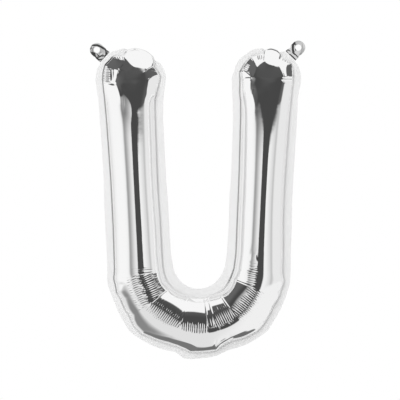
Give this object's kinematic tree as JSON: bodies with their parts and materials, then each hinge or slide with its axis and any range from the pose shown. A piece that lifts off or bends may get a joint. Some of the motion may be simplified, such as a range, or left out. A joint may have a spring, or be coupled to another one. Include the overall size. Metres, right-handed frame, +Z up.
{
  "type": "letter foil balloon",
  "caption": "Air-filled mirror-foil balloon in the shape of the letter U, with hanging tabs at its shoulders and a folded valve tail at the foot.",
  "frame": {"origin": "half way between the two tab eyelets, on the line that carries the balloon", "axes": "+Z up along the letter, +X to the right when the letter is read, +Y out of its back; it is read from -Y"},
  "size_m": [0.2451, 0.0536, 0.3621],
  "materials": {
    "mirror_film": "metallised polyester film, mirror bright, drawn tight over the air inside",
    "welded_film": "two metallised films welded face to face, satin, with a fine pressed texture",
    "valve_film": "flat two-ply film tongue, semi-gloss"
  },
  "bodies": {
    "envelope": {"front_panel": "mirror_film", "back_panel": "mirror_film", "seam_margin": "welded_film"},
    "tab_left": {"hanging_tab_left": "welded_film"},
    "tab_right": {"hanging_tab_right": "welded_film"},
    "tail": {"valve_tail": "valve_film"}
  },
  "joints": [
    {"name": "tab_left_fold", "type": "hinge", "parent": "envelope", "child": "tab_left", "pos_m": [-0.10631, 0, -0.00984], "axis": [0.6769, 0, 0.7361], "range_deg": [-90, 90], "stiffness_Nm_per_rad": 0.0002},
    {"name": "tab_right_fold", "type": "hinge", "parent": "envelope", "child": "tab_right", "pos_m": [0.10469, 0, -0.00818], "axis": [0.7206, 0, -0.6934], "range_deg": [-90, 90], "stiffness_Nm_per_rad": 0.0002},
    {"name": "tail_fold", "type": "hinge", "parent": "envelope", "child": "tail", "pos_m": [0, 0.0008, -0.3501], "axis": [1, 0, 0], "range_deg": [-90, 20], "stiffness_Nm_per_rad": 0.0002}
  ]
}
